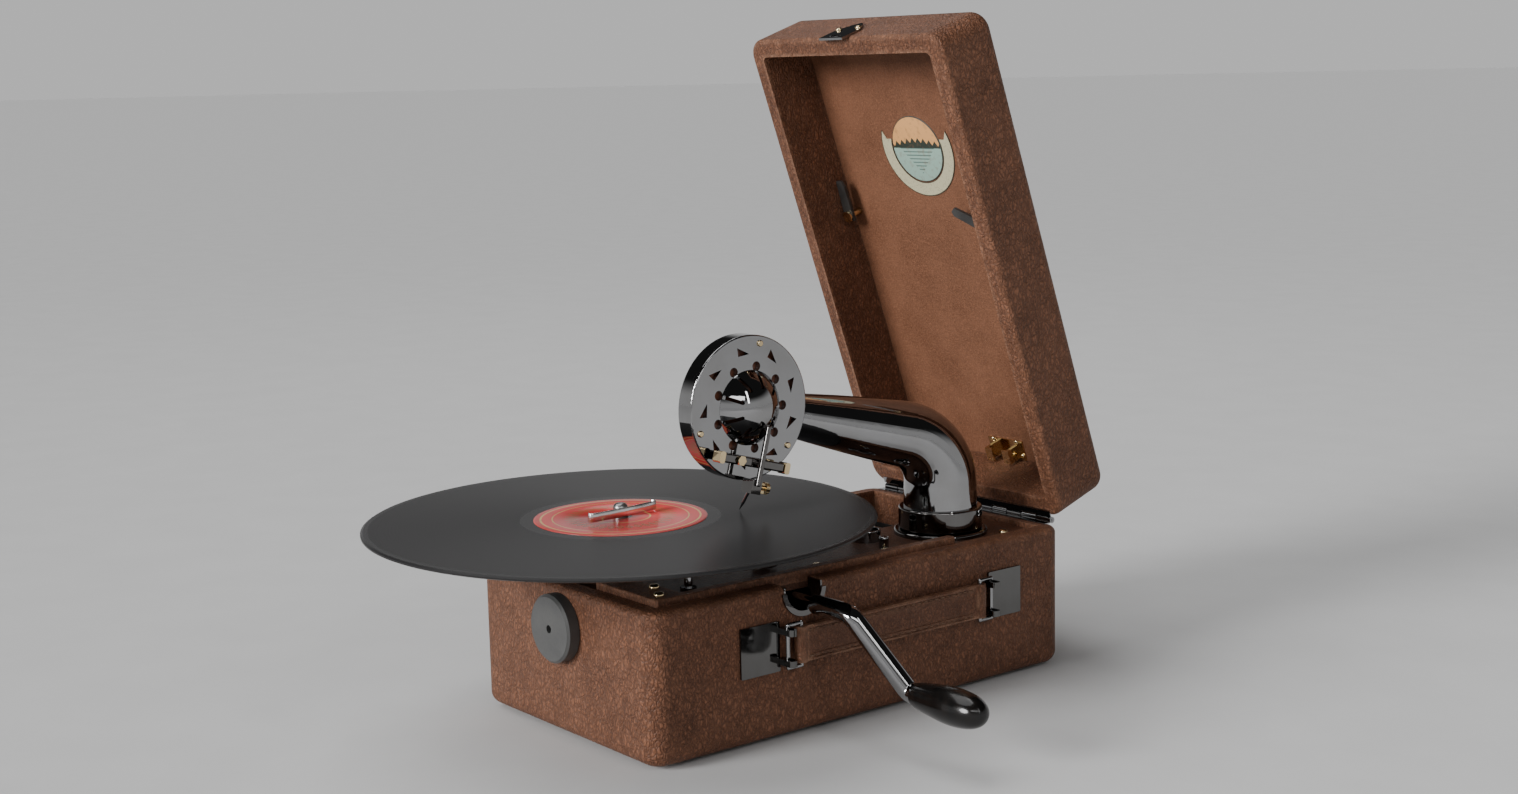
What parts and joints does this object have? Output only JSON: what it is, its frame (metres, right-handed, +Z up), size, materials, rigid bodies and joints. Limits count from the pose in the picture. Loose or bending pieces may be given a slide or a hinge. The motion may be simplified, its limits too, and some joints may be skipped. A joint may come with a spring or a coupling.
{
  "type": "portable wind-up phonograph",
  "caption": "Portable wind-up phonograph: leatherette case, open lid, small turntable with a record, swinging tonearm with round sound box, side crank and strap handle.",
  "frame": {"origin": "centre of the case's footprint, on the plane the four rubber feet stand on", "axes": "+X towards the side with the crank and the strap handle, -Y towards the lock, +Y towards the lid hinge, +Z up"},
  "size_m": [0.3056, 0.391, 0.3442],
  "materials": {
    "leatherette": "fine grained brown leatherette, worn at the corners",
    "board_cloth": "smooth brown covering on the motor board",
    "lid_lining": "dark brown smooth lining",
    "rubber": "matte black",
    "brass": "polished, slightly tarnished",
    "nickel": "polished nickel plate with small wear",
    "dark_nickel": "darkened nickel plate",
    "steel": "brushed",
    "horn_sheet": "matte black paint",
    "spring_steel": "blued",
    "felt": "short pile green felt",
    "shellac": "grooved gloss black",
    "wood_black": "turned, gloss black lacquer",
    "strap_leather": "stitched brown strap leather",
    "mica": "brown lacquered diaphragm",
    "lock_metal": "light grey enamel",
    "dark_steel": "dark grey"
  },
  "bodies": {
    "case": {"case_shell": "leatherette", "rubber_feet": "rubber", "deck_board": "board_cloth", "deck_surround": "leatherette", "deck_screws": "brass", "sound_horn": "horn_sheet", "crank_escutcheon": "dark_nickel", "crank_bearing": "steel", "motor_top_plate": "steel", "motor_bottom_plate": "steel", "motor_pillars": "steel", "governor_bracket": "brass", "tonearm_flange": "dark_nickel", "case_hinge_leaf": "nickel", "hinge_pin": "steel", "lock_bush": "steel", "handle_plates": "nickel", "needle_cup": "nickel", "arm_rest_post": "nickel"},
    "turntable": {"turntable_spindle": "steel", "platter": "nickel", "platter_felt": "felt", "record": "shellac"},
    "barrel": {"spring_barrel": "brass", "mainspring": "spring_steel"},
    "winder": {"winding_arbor": "steel"},
    "intermediate": {"intermediate_wheel": "brass"},
    "governor": {"governor_shaft": "steel", "governor_weights": "brass"},
    "brake": {"brake_lever": "nickel", "brake_pad": "felt"},
    "speed": {"speed_lever": "nickel"},
    "crank": {"crank_shaft": "steel", "crank_arm": "nickel"},
    "grip": {"crank_grip": "wood_black"},
    "tonearm": {"tonearm_tube": "nickel", "tonearm_collar": "dark_nickel"},
    "soundbox": {"soundbox_neck": "nickel", "soundbox_casing": "nickel", "soundbox_face": "nickel", "diaphragm": "mica", "soundbox_dome": "nickel", "soundbox_screws": "brass", "stylus_pivot": "dark_nickel", "stylus_bar": "dark_nickel", "needle": "nickel"},
    "thumb_screw": {"needle_screw": "brass"},
    "lid": {"lid_shell": "leatherette", "lid_panel": "lid_lining", "lock_hasp": "nickel", "crank_clip": "brass", "lid_screws": "brass", "clip_posts": "brass", "lid_hinge_leaf": "nickel"},
    "clip_left": {"record_clip_left": "dark_steel"},
    "clip_right": {"record_clip_right": "dark_steel"},
    "strap": {"handle_loops": "nickel", "handle_strap": "strap_leather"},
    "lock": {"lock_knob": "lock_metal", "lock_spindle": "steel"}
  },
  "joints": [
    {"name": "lid_hinge", "type": "hinge", "parent": "case", "child": "lid", "pos_m": [0, 0.1356, 0.0774], "axis": [-1, 0, 0], "range_deg": [-38, 0]},
    {"name": "turntable_spin", "type": "hinge", "parent": "case", "child": "turntable", "pos_m": [0, -0.0976, 0.09], "axis": [0, 0, -1], "continuous": true},
    {"name": "barrel_turn", "type": "hinge", "parent": "case", "child": "barrel", "pos_m": [0.008, -0.043, 0.03], "axis": [0, 0, -1], "continuous": true},
    {"name": "intermediate_turn", "type": "hinge", "parent": "case", "child": "intermediate", "pos_m": [-0.024, -0.067, 0.05], "axis": [0, 0, -1], "continuous": true},
    {"name": "governor_spin", "type": "hinge", "parent": "case", "child": "governor", "pos_m": [0, -0.1102, 0.028], "axis": [1, 0, 0], "continuous": true},
    {"name": "crank_turn", "type": "hinge", "parent": "case", "child": "crank", "pos_m": [0.06, -0.043, 0.0665], "axis": [-1, 0, 0], "continuous": true},
    {"name": "winder_turn", "type": "hinge", "parent": "case", "child": "winder", "pos_m": [0.008, -0.043, 0.06], "axis": [0, 0, -1], "continuous": true},
    {"name": "grip_spin", "type": "hinge", "parent": "crank", "child": "grip", "pos_m": [0.14, -0.0285, 0.0312], "axis": [1, 0, 0], "continuous": true},
    {"name": "tonearm_swing", "type": "hinge", "parent": "case", "child": "tonearm", "pos_m": [0.031, 0.0865, 0.08], "axis": [0, 0, 1], "range_deg": [-8, 44]},
    {"name": "soundbox_turn", "type": "hinge", "parent": "tonearm", "child": "soundbox", "pos_m": [0.00291, -0.00655, 0.14621], "axis": [-0.2809, -0.9305, 0.2351], "range_deg": [0, 110]},
    {"name": "needle_screw_turn", "type": "hinge", "parent": "soundbox", "child": "thumb_screw", "pos_m": [0.0382, -0.04288, 0.11695], "axis": [0, 0.9636, -0.2672], "range_deg": [0, 180]},
    {"name": "brake_swing", "type": "hinge", "parent": "case", "child": "brake", "pos_m": [0.052, -0.096, 0.09], "axis": [0, 0, 1], "range_deg": [-14, 0]},
    {"name": "speed_swing", "type": "hinge", "parent": "case", "child": "speed", "pos_m": [0.03, -0.033, 0.07], "axis": [0, 0, 1], "range_deg": [-12, 12]},
    {"name": "lock_turn", "type": "hinge", "parent": "case", "child": "lock", "pos_m": [0, -0.137, 0.0562], "axis": [0, -1, 0], "range_deg": [0, 90]},
    {"name": "clip_left_turn", "type": "hinge", "parent": "lid", "child": "clip_left", "pos_m": [-0.0602, 0.10625, 0.23685], "axis": [0, 0.9444, 0.3289], "range_deg": [0, 90]},
    {"name": "clip_right_turn", "type": "hinge", "parent": "lid", "child": "clip_right", "pos_m": [0.0602, 0.10944, 0.22769], "axis": [0, 0.9444, 0.3289], "range_deg": [0, 65]},
    {"name": "strap_pull", "type": "slide", "parent": "case", "child": "strap", "axis": [1, 0, 0], "range_m": [0, 0.003]}
  ],
  "couplings": [
    {"joint": "barrel_turn", "follows": "turntable_spin", "ratio": 0.020833},
    {"joint": "intermediate_turn", "follows": "turntable_spin", "ratio": -0.15},
    {"joint": "governor_spin", "follows": "turntable_spin", "ratio": 8},
    {"joint": "winder_turn", "follows": "crank_turn", "ratio": 0.28571}
  ]
}
